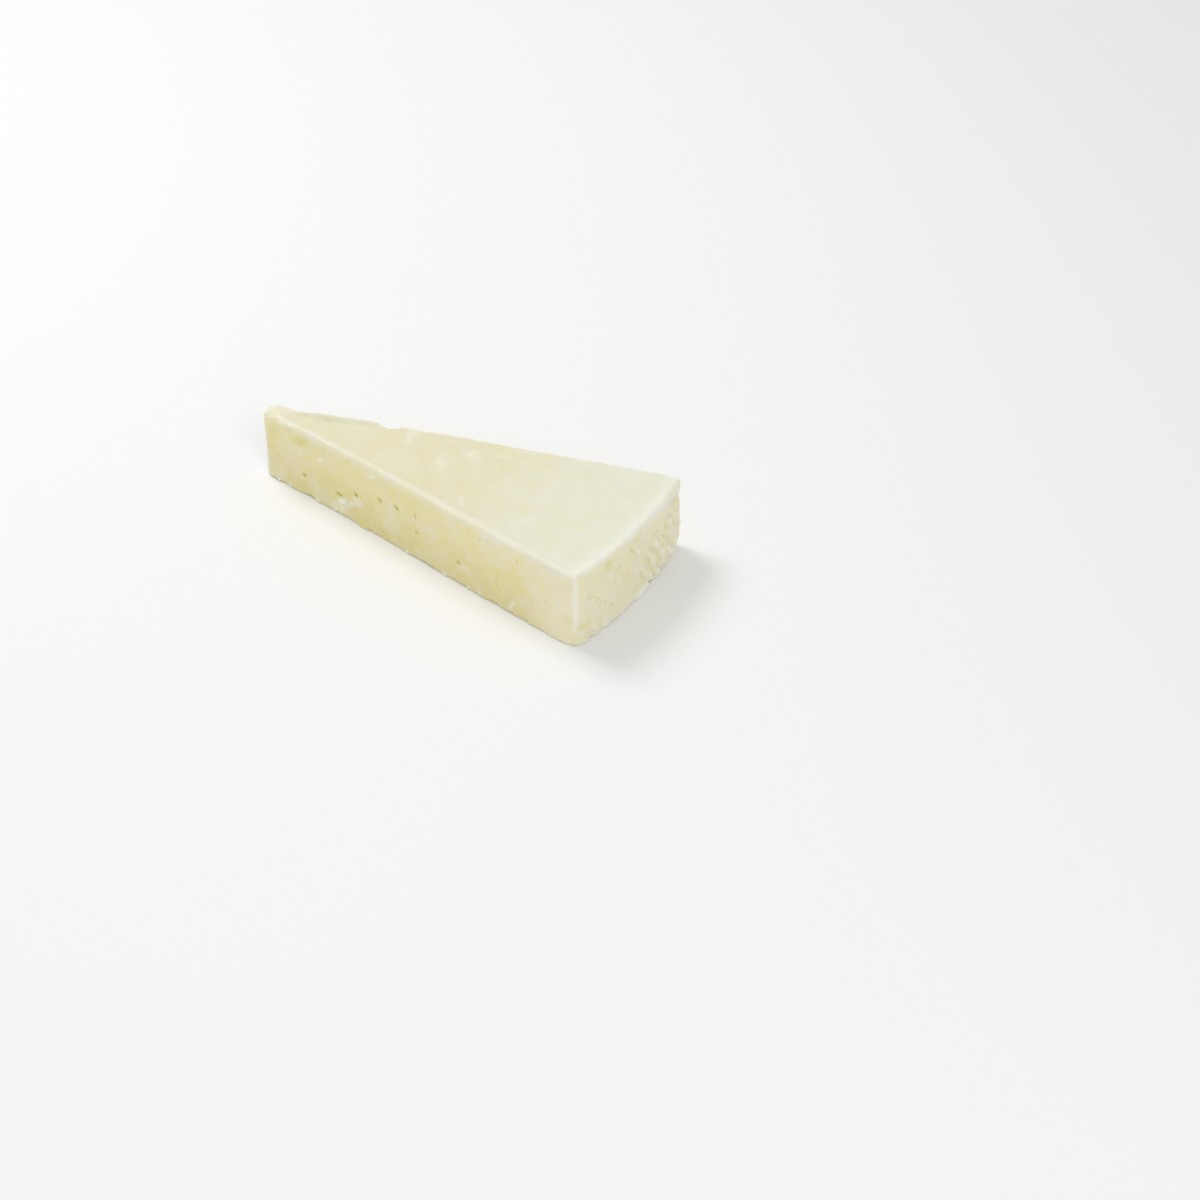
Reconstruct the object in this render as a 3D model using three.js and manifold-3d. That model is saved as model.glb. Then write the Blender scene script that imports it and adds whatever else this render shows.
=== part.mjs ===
// A wedge of hard pressed cheese, cut from a slice of a round wheel and resting on its lower flat face.
//
// Millimetres and degrees. +X runs from the narrow tip to the heel, which was the wheel's rim, +Y points
// to the rear cut face and +Z is up. The wedge is shaped round the wheel's middle and then moved, so that
// the origin is on the resting face under the middle of the wedge.

import * as THREE from 'three';
import { ParametricGeometry } from 'three/addons/geometries/ParametricGeometry.js';
import { mergeVertices } from 'three/addons/utils/BufferGeometryUtils.js';
import Module from 'manifold-3d';

// The wedge's plan
const wheelRadius = 165.4; // from the wheel's middle to the middle of the heel
const wedgeAngle = 24.3; // between the two cut faces
const tipInset = 10.2; // from the wheel's middle to the blunt tip
const tipRounding = 1.9; // radius of the tip's two upright corners
const heelRounding = 1.3; // radius of the heel's two upright corners
const heelSkew = 2.3; // the heel's rear end lies this much further out, and its front end this much nearer

// Its height
const tipHeight = 29.1;
const heelHeight = 31.7;
const climbLength = 40; // the top rises towards the heel's height within a few of these
const topTilt = 0.03; // the top falls by this share of the way towards the rear
const lowerEdge = 0.8; // rounding of the edge at the base
const upperEdge = 1.4; // rounding of the edge at the top
const tipBrow = 1.7; // rounding of the top edge at the tip
const heelRim = 2.4; // rounding of the top edge at the heel's rear end

// How uneven it is
const faceBow = 0.45; // the front cut bows in and then out by this much
const rearSwell = 0.5; // the rear cut swells by this much in its first third
const tipKnob = 1.2; // the tip bulges to the rear by this much
const tipDome = 0.8; // and rises by this much
const footWaver = 0.16; // two waves run the lower edge in and out, each by this much
const knifeWaver = 0.08; // the knife left slow waves on both cut faces

// The lumps that the mould's basket left on the rear half of the heel
const lumpDepth = 0.55;
const lumpColumns = 6;
const lumpPitch = 5.4; // across the heel
const lumpRows = 3;
const lumpRise = 7.5; // from row to row
const lowestLump = 6.5; // height of the lowest row's middle
const lumpLean = -0.4; // sideways for each millimetre up

// Its groove and crease. Across is a place along Y, and down and up are heights above the base.
const groove = { across: 34, up: 22.8, climb: 0.32, deep: 1.1, wide: 1.7, fadesFrom: 32, fadesTo: 18 };
const crease = { across: -33, up: 11, fall: 1.1, deep: 0.5, wide: 1.6, fadesFrom: -30, fadesTo: -22 };

// Its dents, in a row that runs down the front end, and the folds that nick its lower edge
const dents = { count: 4, across: -26.9, up: 19.8, wide: 2.6, tall: 2.4, deep: 0.5 };
const dentStep = { across: 3.5, down: 3.7 };
const folds = { across: [-27.4, -22, 8.6, 17.1], up: 0.6, wide: 1.6, tall: 4, deep: 0.9 };

// Eyes that show on the front cut: how far from the tip and how high each is, its size, lean and depth
const frontEyes = [
  { along: 19.5, up: 9.5, wide: 1.6, tall: 1.7, lean: 0, deep: 0.9 },
  { along: 37.7, up: 9.5, wide: 3.4, tall: 1.1, lean: 0.35, deep: 0.9 },
  { along: 45.3, up: 13.8, wide: 2, tall: 1.9, lean: 0, deep: 1.3 },
  { along: 57.9, up: 17.9, wide: 1.4, tall: 2.2, lean: 0, deep: 1 },
  { along: 65.9, up: 18.7, wide: 1.3, tall: 2.8, lean: -0.5, deep: 1 },
  { along: 74.9, up: 19.8, wide: 1.3, tall: 1.6, lean: 0, deep: 0.8 },
  { along: 75.5, up: 12.6, wide: 1.4, tall: 1.6, lean: 0, deep: 0.8 },
  { along: 95.4, up: 9.9, wide: 1.8, tall: 1.6, lean: 0, deep: 0.8 },
  { along: 116.7, up: 11.7, wide: 1.1, tall: 1.2, lean: 0, deep: 0.6 },
  { along: 123.2, up: 25.9, wide: 1.1, tall: 1.2, lean: 0, deep: 0.6 },
  { along: 135.5, up: 14, wide: 1.1, tall: 1.2, lean: 0, deep: 0.6 }
];
const rearEyePitch = 11; // one eye in each such stretch of the rear cut

// Where flakes broke off the front cut, and off the top's rear edge
const frontBreaks = [
  { along: 39.6, up: 7.1, wide: 6.4, tall: 3.2, lean: -0.3, deep: 0.55 },
  { along: 108.3, up: 27.4, wide: 3.6, tall: 3, lean: 0.6, deep: 0.45 }
];
const edgeBreaks = [
  { along: 46, above: 0.4, long: 10.8, wide: 6, tall: 5.6 },
  { along: 131.5, above: 0, long: 2.6, wide: 1.8, tall: 2.2 }
];

// The skin's grid
const faceSteps = 46;
const heelSteps = 21; // over half of the heel
const cornerSteps = 3;
const sideRows = 14;
const flatRows = 3; // rings over the base, and as many over the top
const spineStart = 17; // the rings close on a line along the wedge's middle, from here
const spineEnd = 138; // to here
const fineWeld = 1e-4; // corners nearer than this are one
const cutWeld = 0.01; // and where forms were cut out, nearer than this

const halfAngle = THREE.MathUtils.degToRad(wedgeAngle / 2);
const wasm = await Module();
wasm.setup();

// Seeded draws, so that the cheese is as uneven each time it is made.
let drawState = 4020;
function draw(low, high) {
  drawState = (drawState * 16807) % 2147483647;
  return low + ((high - low) * drawState) / 2147483647;
}

function hill(distance, reach) {
  return Math.exp(-((distance / reach) ** 2));
}

// Half of the wedge's outline seen from above, from the heel's middle round to the tip's middle.
function halfOutline() {
  const heelTurn = halfAngle - Math.asin(heelRounding / (wheelRadius - heelRounding));
  const heelCorner = new THREE.Vector2(Math.cos(heelTurn), Math.sin(heelTurn));
  heelCorner.multiplyScalar(wheelRadius - heelRounding);
  const tipCorner = new THREE.Vector2(tipInset + tipRounding, 0);
  tipCorner.y = (tipCorner.x * Math.sin(halfAngle) - tipRounding) / Math.cos(halfAngle);
  const faceTurn = Math.PI / 2 + halfAngle;
  const path = new THREE.Path();
  path.absarc(0, 0, wheelRadius, 0, heelTurn, false);
  path.absarc(heelCorner.x, heelCorner.y, heelRounding, heelTurn, faceTurn, false);
  path.lineTo(
    tipCorner.x + tipRounding * Math.cos(faceTurn),
    tipCorner.y + tipRounding * Math.sin(faceTurn)
  );
  path.absarc(tipCorner.x, tipCorner.y, tipRounding, faceTurn, Math.PI, false);
  path.lineTo(tipInset, 0);
  return path;
}

// How many stations a stretch of the outline gets.
function stepsAlong(curve) {
  if (curve.isEllipseCurve) {
    return curve.xRadius === wheelRadius ? heelSteps : cornerSteps;
  }
  return curve.getLength() > tipRounding ? faceSteps : 1;
}

// The stations round the wedge, the half outline's points and their mirror: each has its outward direction
// and the place on the spine that its rings close on. The wheel wasn't quite round, so each is then moved
// out from the wheel's middle, or nearer to it, by its share of the heel's skew.
function outlineStations() {
  const rear = [];
  for (const curve of halfOutline().curves) {
    const steps = stepsAlong(curve);
    for (let step = 0; step < steps; step++) {
      const ahead = curve.getTangentAt(step / steps);
      rear.push({ at: curve.getPointAt(step / steps), out: new THREE.Vector2(ahead.y, -ahead.x) });
    }
  }
  rear.push({ at: new THREE.Vector2(tipInset, 0), out: new THREE.Vector2(-1, 0) });
  const front = rear
    .slice(1, -1)
    .reverse()
    .map(({ at, out }) => ({ at: new THREE.Vector2(at.x, -at.y), out: new THREE.Vector2(out.x, -out.y) }));
  return [...rear, ...front].map(({ at, out }) => {
    const stretch = 1 + ((heelSkew / wheelRadius) * Math.atan2(at.y, at.x)) / halfAngle;
    const spineX = THREE.MathUtils.clamp(at.x, spineStart, spineEnd);
    return { at: at.clone().multiplyScalar(stretch), out, spineX };
  });
}

// The skin's rows, from the middle of the base, up the side, to the middle of the top. Each says how far it
// lies on the way to the spine, how far inside the outline and how high, in shares of the lower and the upper
// rounding and, for rise, of the upright stretch between them.
function skinRows() {
  const base = { toSpine: 0, lowIn: 1, lowUp: 0, rise: 0, highIn: 0, highUp: 0 };
  const side = { toSpine: 0, lowIn: 0, lowUp: 1, rise: 0, highIn: 0, highUp: 0 };
  const top = { toSpine: 0, lowIn: 0, lowUp: 1, rise: 1, highIn: 1, highUp: 1 };
  const quarter = Math.PI / 2;
  const rows = [];
  for (let row = 0; row < flatRows; row++) {
    rows.push({ ...base, toSpine: 1 - row / flatRows });
  }
  for (let step = 0; step < cornerSteps; step++) {
    const turn = (step / cornerSteps) * quarter;
    rows.push({ ...base, lowIn: 1 - Math.sin(turn), lowUp: 1 - Math.cos(turn) });
  }
  for (let row = 0; row < sideRows; row++) {
    rows.push({ ...side, rise: row / sideRows });
  }
  for (let step = 0; step < cornerSteps; step++) {
    const turn = (step / cornerSteps) * quarter;
    rows.push({ ...top, highIn: 1 - Math.cos(turn), highUp: Math.sin(turn) });
  }
  for (let row = 0; row <= flatRows; row++) {
    rows.push({ ...top, toSpine: row / flatRows });
  }
  return rows;
}

// The top's height: low at the tip, with a small dome and a dip behind it, level towards the heel.
function topHeight(x, y) {
  const along = x - tipInset;
  const climb = (heelHeight - tipHeight) * Math.exp(-along / climbLength);
  const dome = tipDome * hill(along - 4.3, 4) - (tipDome / 2) * hill(along - 12, 3);
  return heelHeight - climb + dome - topTilt * y;
}

// Tall lumps on the rear half of the heel, in three loose rows, all leaning the same way.
function heelLumps() {
  const lumps = [];
  for (let row = 0; row < lumpRows; row++) {
    for (let column = 0; column < lumpColumns; column++) {
      lumps.push({
        y: (column + (row % 2) / 2) * lumpPitch + draw(-1.6, 1.6),
        z: lowestLump + row * lumpRise + draw(-1.8, 1.8),
        wide: draw(1.5, 2.3),
        tall: draw(3, 4.5),
        proud: lumpDepth * draw(0.5, 1.2)
      });
    }
  }
  return lumps;
}

const lumps = heelLumps();

// What the heel stands proud of the wheel's round, at a place across it and a height.
function heelRelief(y, z) {
  let proud = 0;
  for (const lump of lumps) {
    const aside = y - lump.y - lumpLean * (z - lump.z);
    proud += lump.proud * hill(aside, lump.wide) * hill(z - lump.z, lump.tall);
  }
  // A groove under the rim at the rear end, which climbs and fades towards the middle.
  const grooveUp = groove.up + Math.max(0, groove.across - y) * groove.climb;
  const grooveShare = THREE.MathUtils.smoothstep(y, groove.fadesTo, groove.fadesFrom);
  proud -= groove.deep * grooveShare * hill(z - grooveUp, groove.wide);
  // A crease above the foot at the front end, which falls and fades towards the middle.
  const creaseUp = crease.up - Math.max(0, y - crease.across) * crease.fall;
  const creaseShare = 1 - THREE.MathUtils.smoothstep(y, crease.fadesFrom, crease.fadesTo);
  proud -= crease.deep * creaseShare * hill(z - creaseUp, crease.wide);
  return proud;
}

// What a cut face stands proud of its flat, on the front and on the rear.
function faceRelief(x, y, z) {
  const along = (x - tipInset) / (wheelRadius - tipInset);
  const foot = footWaver * hill(z, 2) * (Math.sin(x / 2.9) + Math.sin(x / 1.3 + y));
  const waver = foot + knifeWaver * (Math.sin(z / 4 + x / 7) + Math.sin(x / 4.4 - z / 9));
  if (y < 0) {
    return waver - faceBow * Math.sin(2 * Math.PI * along);
  }
  return waver + rearSwell * hill(along - 0.2, 0.15) + tipKnob * hill(x - tipInset - 6, 3.5);
}

// The whole relief at a station, the heel's and the face's blended round the upright corner between them.
function relief(station, z) {
  const heelShare = THREE.MathUtils.smoothstep(station.out.x, 0.1, 0.9);
  const faceShare = 1 - Math.abs(station.out.x) ** 4;
  return (
    heelShare * heelRelief(station.at.y, z) +
    (1 - heelShare) * faceShare * faceRelief(station.at.x, station.at.y, z)
  );
}

// The top edge's rounding: softer round the tip and, at the heel, towards the rear.
function topRounding({ at, out }) {
  const tipShare = 1 - THREE.MathUtils.smoothstep(at.x, tipInset + 2, tipInset + 9);
  const heelShare = THREE.MathUtils.smoothstep(out.x, 0.1, 0.9) * THREE.MathUtils.smoothstep(at.y, -20, 30);
  return upperEdge + tipShare * (tipBrow - upperEdge) + heelShare * (heelRim - upperEdge);
}

function skinPoint(station, row, target) {
  const highEdge = topRounding(station);
  const inset = lowerEdge * row.lowIn + highEdge * row.highIn;
  const sideHeight = topHeight(station.at.x, station.at.y) - lowerEdge - highEdge;
  const low = lowerEdge * row.lowUp;
  const proud = relief(station, low + sideHeight * row.rise + highEdge * row.highUp) - inset;
  const x = THREE.MathUtils.lerp(station.at.x + station.out.x * proud, station.spineX, row.toSpine);
  const y = THREE.MathUtils.lerp(station.at.y + station.out.y * proud, 0, row.toSpine);
  const high = (topHeight(x, y) - lowerEdge - highEdge) * row.rise + highEdge * row.highUp;
  target.set(x, y, low + high);
}

function wedgeSkin() {
  const stations = outlineStations();
  const rows = skinRows();
  const round = (u, v, target) => {
    const station = stations[Math.round(u * stations.length) % stations.length];
    skinPoint(station, rows[Math.round(v * (rows.length - 1))], target);
  };
  return new ParametricGeometry(round, stations.length, rows.length - 1);
}

// A closed surface as a solid, with corners nearer than the weld merged and collapsed triangles dropped.
function solidFrom(geometry, weld) {
  const bare = geometry.clone();
  bare.deleteAttribute('normal');
  bare.deleteAttribute('uv');
  const merged = mergeVertices(bare, weld);
  const corners = [];
  for (let i = 0; i < merged.index.count; i += 3) {
    const [a, b, c] = [merged.index.getX(i), merged.index.getX(i + 1), merged.index.getX(i + 2)];
    if (a !== b && b !== c && c !== a) {
      corners.push(a, b, c);
    }
  }
  const vertProperties = new Float32Array(merged.attributes.position.array);
  return new wasm.Manifold(new wasm.Mesh({ numProp: 3, vertProperties, triVerts: new Uint32Array(corners) }));
}

function geometryFrom(solid) {
  const mesh = solid.getMesh();
  const geometry = new THREE.BufferGeometry();
  geometry.setAttribute('position', new THREE.BufferAttribute(new Float32Array(mesh.vertProperties), 3));
  geometry.setIndex(new THREE.BufferAttribute(new Uint32Array(mesh.triVerts), 1));
  return geometry;
}

// A round hollow's form: a ball stretched to its half sizes, turned to face out of the wedge, and leaned.
function hollow(place, turn, lean, halfSizes) {
  const ball = new THREE.Object3D();
  ball.position.copy(place);
  ball.rotation.set(0, lean, turn, 'ZYX');
  ball.scale.copy(halfSizes);
  ball.updateMatrix();
  return solidFrom(new THREE.SphereGeometry(1, 9, 6).applyMatrix4(ball.matrix), fineWeld);
}

// A hollow in a cut face: side is -1 on the front and 1 on the rear.
function faceHollow(side, { along, up, wide, tall, lean, deep }) {
  const x = tipInset + along;
  const y = side * x * Math.tan(halfAngle);
  const proud = faceRelief(x, y, up);
  const place = new THREE.Vector3(x, y, up);
  place.x -= Math.sin(halfAngle) * proud;
  place.y += side * Math.cos(halfAngle) * proud;
  return hollow(place, side * halfAngle, lean, new THREE.Vector3(wide / 2, deep, tall / 2));
}

// Eyes like the front's scattered over the rear cut.
function rearEyes() {
  const eyes = [];
  for (let start = 14; start < 144; start += rearEyePitch) {
    const wide = draw(1.1, 1.9);
    const tall = wide * draw(0.9, 1.7);
    const along = start + draw(0, 0.7 * rearEyePitch);
    const up = draw(6, 25);
    const lean = draw(-0.5, 0.5);
    eyes.push(faceHollow(1, { along, up, wide, tall, lean, deep: 0.55 * wide }));
  }
  return eyes;
}

// A hollow in the heel, at a place across it.
function heelHollow(across, { up, wide, tall, deep }) {
  const turn = Math.asin(across / wheelRadius);
  const radius = wheelRadius + (heelSkew * turn) / halfAngle + heelRelief(across, up);
  const place = new THREE.Vector3(radius * Math.cos(turn), radius * Math.sin(turn), up);
  return hollow(place, turn, 0, new THREE.Vector3(deep, wide / 2, tall / 2));
}

function heelDents() {
  return Array.from({ length: dents.count }, (_, dent) => {
    const up = dents.up - dent * dentStep.down;
    return heelHollow(dents.across + dent * dentStep.across, { ...dents, up });
  });
}

// A break in the top's rear edge.
function edgeBreak({ along, above, long, wide, tall }) {
  const x = tipInset + along;
  const y = x * Math.tan(halfAngle);
  const place = new THREE.Vector3(x, y, topHeight(x, y) + above);
  return hollow(place, halfAngle, 0, new THREE.Vector3(long / 2, wide / 2, tall / 2));
}

function hollows() {
  return [
    ...frontEyes.map((eye) => faceHollow(-1, eye)),
    ...rearEyes(),
    ...heelDents(),
    ...folds.across.map((across) => heelHollow(across, folds)),
    ...frontBreaks.map((flake) => faceHollow(-1, flake)),
    ...edgeBreaks.map((flake) => edgeBreak(flake))
  ];
}

function cheeseMaterial() {
  return new THREE.MeshStandardMaterial({ color: 0xe0d8b2, roughness: 0.5, metalness: 0 });
}

function cheeseWedge() {
  let solid = solidFrom(wedgeSkin(), fineWeld);
  for (const form of hollows()) {
    solid = solid.subtract(form);
  }
  const geometry = geometryFrom(solidFrom(geometryFrom(solid), cutWeld));
  geometry.computeBoundingBox();
  const { min, max } = geometry.boundingBox;
  geometry.translate(-(min.x + max.x) / 2, -(min.y + max.y) / 2, -min.z);
  geometry.computeVertexNormals();
  const mesh = new THREE.Mesh(geometry, cheeseMaterial());
  mesh.name = 'cheese_wedge';
  return mesh;
}

const cheese = new THREE.Group();
cheese.add(cheeseWedge());

export default cheese;
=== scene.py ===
import math

import bmesh
import bpy
import numpy as np
from mathutils import Matrix, Vector, noise


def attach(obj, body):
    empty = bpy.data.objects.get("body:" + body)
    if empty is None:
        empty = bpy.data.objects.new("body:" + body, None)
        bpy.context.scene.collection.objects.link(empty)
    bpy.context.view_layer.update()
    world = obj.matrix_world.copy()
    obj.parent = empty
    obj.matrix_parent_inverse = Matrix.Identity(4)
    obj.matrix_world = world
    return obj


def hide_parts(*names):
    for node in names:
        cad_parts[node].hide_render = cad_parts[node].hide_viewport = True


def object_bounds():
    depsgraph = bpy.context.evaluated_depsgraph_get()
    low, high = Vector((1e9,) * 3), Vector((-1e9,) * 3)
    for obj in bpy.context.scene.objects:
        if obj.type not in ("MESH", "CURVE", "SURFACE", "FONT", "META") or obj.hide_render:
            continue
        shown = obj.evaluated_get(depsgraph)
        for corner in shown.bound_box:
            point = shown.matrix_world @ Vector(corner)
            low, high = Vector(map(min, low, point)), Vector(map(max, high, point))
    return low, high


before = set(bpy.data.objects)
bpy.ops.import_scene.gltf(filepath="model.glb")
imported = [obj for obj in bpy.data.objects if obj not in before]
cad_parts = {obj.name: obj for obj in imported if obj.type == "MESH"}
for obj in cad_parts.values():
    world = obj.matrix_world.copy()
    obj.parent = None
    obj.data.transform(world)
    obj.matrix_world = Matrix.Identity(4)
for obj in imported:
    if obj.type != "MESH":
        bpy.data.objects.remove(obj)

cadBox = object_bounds()
print("frame loaded")

# The wedge is shaped in millimetres round the middle of the wheel it was cut from: x runs from there to the
# heel, y to the rear cut and z up. At the end it is moved to its place and made metres.
wedge = {
    "wheelRadius": 165.4,
    "cutAngle": 24.3,  # degrees between the two cuts
    "tipInset": 10.2,  # from the wheel's middle to the blunt tip
    "tipCorner": 1.5,
    "heelCorner": 1.3,
    "heelSkew": 2.3,  # the heel's rear end lies this much further out, and its front end this much nearer
    "heelHeight": 31.7,
    "tipHeight": 29.1,
    "climb": 40,  # the top rises within a few of these
    "tilt": 0.03,  # and falls by this share of the way to the rear
    "lowerEdge": 0.8,
    "arcSteps": 48,
    "edgeSteps": 5,
    "grain": 0.52,  # spacing of the skin's points
    "smoothings": 2,
    "placeY": -0.4,  # where the wheel's middle lies, across the frame
    "seed": 4020,
}
# the soft dome over the tip, by the way from the tip, with a fold behind it; it is lower at the front
dome = {
    "high": 0.95, "middle": 4.3, "reach": 4, "fold": 0.3, "foldMiddle": 12, "foldReach": 3.4,
    "frontShare": 0.75, "turn": (-2.5, 1.5),
}
same = 0.01  # points nearer than this are at the same place
tiny = 0.001  # and shorter ways than this lead nowhere

half = math.radians(wedge["cutAngle"]) / 2
frontOut = np.array((-math.sin(half), -math.cos(half), 0.0))
rearOut = np.array((-math.sin(half), math.cos(half), 0.0))


def hill(distance, reach):
    return np.exp(-((distance / reach) ** 2))


def ramp(value, start, end):
    share = np.clip((value - start) / (end - start), 0, 1)
    return share * share * (3 - 2 * share)


def uneven(points, size, seed, octaves=1):
    # soft noise from about -1 to 1; size is that of its features, one number or one for each axis
    shift = Vector((seed * 7.3, seed * 3.1, seed * 5.7))
    scaled = points / size
    if octaves == 1:
        return np.array([noise.noise(Vector(p) + shift) for p in scaled])
    return np.array([noise.fractal(Vector(p) + shift, 0.8, 2.0, octaves) for p in scaled])


drawState = wedge["seed"]


def draw(low, high):
    global drawState
    drawState = (drawState * 16807) % 2147483647
    return low + (high - low) * drawState / 2147483647


def roundEdges(bm, edges, size):
    bmesh.ops.bevel(
        bm, geom=edges, offset=size, offset_type="OFFSET", segments=wedge["edgeSteps"],
        profile=0.5, affect="EDGES", material=-1, clamp_overlap=False,
    )


def cutBlank():
    # the plain wedge: the rim's arc, the two cuts and the blunt tip, raised, with its corners rounded
    radius, inset, height = wedge["wheelRadius"], wedge["tipInset"], wedge["heelHeight"]
    bm = bmesh.new()
    first = bm.verts.new((radius * math.cos(half), -radius * math.sin(half), 0))
    bmesh.ops.spin(bm, geom=[first], cent=(0, 0, 0), axis=(0, 0, 1), angle=2 * half, steps=wedge["arcSteps"])
    last = max(bm.verts, key=lambda v: v.co.y)
    tipFront = bm.verts.new((inset, -inset * math.tan(half), 0))
    tipRear = bm.verts.new((inset, inset * math.tan(half), 0))
    for pair in ((tipFront, first), (last, tipRear), (tipRear, tipFront)):
        bm.edges.new(pair)
    bmesh.ops.contextual_create(bm, geom=bm.edges[:])
    raised = bmesh.ops.extrude_face_region(bm, geom=bm.faces[:])
    above = [g for g in raised["geom"] if isinstance(g, bmesh.types.BMVert)]
    bmesh.ops.translate(bm, verts=above, vec=(0, 0, height))
    bmesh.ops.recalc_face_normals(bm, faces=bm.faces[:])
    corners = {
        "heelCorner": (radius * math.cos(half), radius * math.sin(half)),
        "tipCorner": (inset, inset * math.tan(half)),
    }
    for name, (x, y) in corners.items():
        upright = [
            e for e in bm.edges
            if abs(e.verts[0].co.z - e.verts[1].co.z) > same
            and abs(e.verts[0].co.x - x) < same
            and abs(abs(e.verts[0].co.y) - y) < same
        ]
        roundEdges(bm, upright, wedge[name])
    roundEdges(bm, [e for e in bm.edges if all(v.co.z < same for v in e.verts)], wedge["lowerEdge"])
    for v in bm.verts:
        v.co.xy *= 1 + wedge["heelSkew"] / radius * math.atan2(v.co.y, v.co.x) / half
    return bm


def coverEvenly(bm):
    # an even net of small faces over the blank, fine enough for eyes and crumbs
    blankMesh = bpy.data.meshes.new("blank")
    bm.to_mesh(blankMesh)
    bm.free()
    blank = bpy.data.objects.new("blank", blankMesh)
    bpy.context.scene.collection.objects.link(blank)
    net = blank.modifiers.new("net", "REMESH")
    net.mode = "VOXEL"
    net.voxel_size = wedge["grain"]
    bpy.context.view_layer.update()
    skin = bpy.data.meshes.new_from_object(blank.evaluated_get(bpy.context.evaluated_depsgraph_get()))
    bpy.data.objects.remove(blank)
    bpy.data.meshes.remove(blankMesh)
    bm = bmesh.new()
    bm.from_mesh(skin)
    bpy.data.meshes.remove(skin)
    for _ in range(wedge["smoothings"]):
        bmesh.ops.smooth_vert(
            bm, verts=bm.verts[:], factor=0.5, use_axis_x=True, use_axis_y=True, use_axis_z=True,
        )
    return bm


def topHeight(x, y):
    along = x - wedge["tipInset"]
    lower = (wedge["heelHeight"] - wedge["tipHeight"]) * np.exp(-along / wedge["climb"])
    rear = dome["frontShare"] + (1 - dome["frontShare"]) * ramp(y, *dome["turn"])
    crown = hill(along - dome["middle"], dome["reach"])
    fold = hill(along - dome["foldMiddle"], dome["foldReach"])
    lower = lower - dome["high"] * rear * (crown - dome["fold"] * fold)
    return wedge["heelHeight"] - lower - wedge["tilt"] * y


def readPoints(bm):
    return np.array([v.co[:] for v in bm.verts])


def writePoints(bm, points):
    for v, p in zip(bm.verts, points):
        v.co = p


# How far a point's normal turns to a side before the point counts as on it: a little, and wholly
facing = {"level": (0.4, 0.9), "cut": (0.5, 0.9), "heel": (0.3, 0.85), "heelForms": (0.1, 0.9)}


class Places:
    # how far inside each face the skin's points lie, and how much each shows to every side
    def __init__(self, bm):
        bm.normal_update()
        self.points = readPoints(bm)
        self.out = np.array([v.normal[:] for v in bm.verts])
        self.x, self.y, self.z = self.points.T
        turn = np.arctan2(self.y, self.x)
        self.inFront = -(self.points @ frontOut)
        self.inRear = -(self.points @ rearOut)
        self.inHeel = wedge["wheelRadius"] * (1 + wedge["heelSkew"] / wedge["wheelRadius"] * turn / half)
        self.inHeel -= np.hypot(self.x, self.y)
        self.inTip = self.x - wedge["tipInset"]
        self.below = topHeight(self.x, self.y) - self.z
        self.side = np.sqrt(np.clip(1 - self.out[:, 2] ** 2, 0, 1))
        flat = np.maximum(np.hypot(self.out[:, 0], self.out[:, 1]), 1e-6)  # never 0
        self.aheadX, self.aheadY = self.out[:, 0] / flat, self.out[:, 1] / flat
        self.onHeel = self.side * ramp(self.aheadX, *facing["heel"])
        self.onFront = self.side * ramp(-self.aheadY, *facing["cut"]) * (1 - self.onHeel)
        self.onRear = self.side * ramp(self.aheadY, *facing["cut"]) * (1 - self.onHeel)
        self.onTop = ramp(self.out[:, 2], *facing["level"])
        self.onBase = ramp(-self.out[:, 2], *facing["level"])

    def inNearest(self):
        return np.minimum(np.minimum(self.inFront, self.inRear), np.minimum(self.inHeel, self.inTip))

    def radial(self):
        return self.points * (1, 1, 0) / np.hypot(self.x, self.y)[:, None]


# How the top's edge is rounded. The cuts' edges are fairly sharp, the tip is worn soft and the heel's rim is
# softer towards the rear. Where two faces are nearer than corner, the edge turns from one to the other.
# Here and below, a noise is written as its size, its seed and its octaves.
topEdge = {
    "cuts": 1.35, "tip": 2.9, "tipReach": (2, 14), "heelFront": 1.9, "heelRear": 2.1, "heelTurn": (-25, 30),
    "heelReach": (-6, -1), "uneven": 0.22, "patches": (9, 3, 3), "corner": 1.4, "past": 1.1,
}


def arcOver(first, second, radius):
    # moves for points near a sharp corner, at depths first and second inside its two faces, onto a round one
    step = np.clip((first - second) / radius, -1, 1)
    turn = (step + 1) * math.pi / 4
    near = (np.abs(step) < 1) & (first < radius * topEdge["past"]) & (second < radius * topEdge["past"])
    firstMove = np.where(near, radius * (1 - np.cos(turn)) - first, 0)
    secondMove = np.where(near, radius * (1 - np.sin(turn)) - second, 0)
    return firstMove, secondMove


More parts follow.
